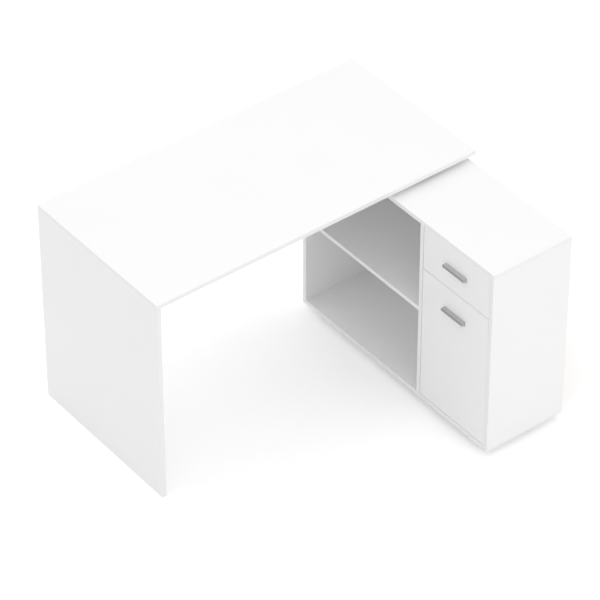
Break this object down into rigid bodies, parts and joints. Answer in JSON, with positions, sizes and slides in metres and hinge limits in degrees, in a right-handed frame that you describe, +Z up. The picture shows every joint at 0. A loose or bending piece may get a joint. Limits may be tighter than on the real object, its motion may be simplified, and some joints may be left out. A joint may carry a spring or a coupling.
{
  "type": "corner desk",
  "caption": "White corner desk: a rectangular worktop on a side panel and a low cabinet set at right angles, with a drawer over a door, an open bay with a shelf and a recessed plinth.",
  "frame": {"origin": "on the floor, under the middle of the whole desk's bounding box", "axes": "+Z up; +X to the right of a person sitting at the worktop and looking over it, along the worktop's length; +Y away from that person, so the cabinet reaches forward towards -Y"},
  "size_m": [1.2, 1.065, 0.75],
  "materials": {
    "white_board": "satin melamine on particle board, edged in the same white",
    "white_hardboard": "white lacquered hardboard",
    "white_metal": "white powder coat, satin",
    "zinc_steel": "bright zinc plate",
    "white_nylon": "moulded nylon",
    "satin_aluminium": "cast, satin silver lacquer",
    "zinc_casting": "die-cast zinc"
  },
  "bodies": {
    "desk": {"desktop": "white_board", "left_side_panel": "white_board", "cabinet_top": "white_board", "cabinet_bottom": "white_board", "near_end_panel": "white_board", "far_end_panel": "white_board", "divider_panel": "white_board", "shelf": "white_board", "modesty_panel": "white_board", "plinth_front": "white_board", "plinth_back": "white_board", "plinth_near_crosspiece": "white_board", "plinth_middle_crosspiece": "white_board", "plinth_far_crosspiece": "white_board", "left_riser": "white_board", "right_riser": "white_board", "back_panel": "white_hardboard", "near_cabinet_runner": "white_metal", "far_cabinet_runner": "white_metal", "hinge_arms": "zinc_steel", "hinge_plates": "zinc_steel", "shelf_pins": "zinc_steel", "cam_locks": "zinc_casting"},
    "drawer": {"drawer_front": "white_board", "drawer_near_side": "white_board", "drawer_far_side": "white_board", "drawer_back": "white_board", "drawer_bottom": "white_hardboard", "drawer_handle": "satin_aluminium", "near_drawer_runner": "white_metal", "far_drawer_runner": "white_metal"},
    "door": {"door_panel": "white_board", "door_handle": "satin_aluminium", "hinge_cups": "zinc_steel"},
    "near_front_roller": {"near_front_roller": "white_nylon"},
    "far_front_roller": {"far_front_roller": "white_nylon"},
    "near_rear_roller": {"near_rear_roller": "white_nylon"},
    "far_rear_roller": {"far_rear_roller": "white_nylon"}
  },
  "joints": [
    {"name": "drawer_slide", "type": "slide", "parent": "desk", "child": "drawer", "axis": [-1, 0, 0], "range_m": [0, 0.19]},
    {"name": "door_hinge", "type": "hinge", "parent": "desk", "child": "door", "pos_m": [0.281, -0.516, 0.292], "axis": [0, 0, 1], "range_deg": [0, 105]},
    {"name": "near_front_roller_spin", "type": "hinge", "parent": "desk", "child": "near_front_roller", "pos_m": [0.311, -0.51275, 0.5702], "axis": [0, -1, 0], "range_deg": [0, 1361]},
    {"name": "far_front_roller_spin", "type": "hinge", "parent": "desk", "child": "far_front_roller", "pos_m": [0.311, -0.21475, 0.5702], "axis": [0, -1, 0], "range_deg": [0, 1361]},
    {"name": "near_rear_roller_spin", "type": "hinge", "parent": "drawer", "child": "near_rear_roller", "pos_m": [0.535, -0.50955, 0.5684], "axis": [0, -1, 0], "range_deg": [0, 1361]},
    {"name": "far_rear_roller_spin", "type": "hinge", "parent": "drawer", "child": "far_rear_roller", "pos_m": [0.535, -0.21795, 0.5684], "axis": [0, -1, 0], "range_deg": [0, 1361]}
  ],
  "couplings": [
    {"joint": "near_front_roller_spin", "follows": "drawer_slide", "rad_per_m": 125},
    {"joint": "far_front_roller_spin", "follows": "drawer_slide", "rad_per_m": 125},
    {"joint": "near_rear_roller_spin", "follows": "drawer_slide", "rad_per_m": 125},
    {"joint": "far_rear_roller_spin", "follows": "drawer_slide", "rad_per_m": 125}
  ]
}
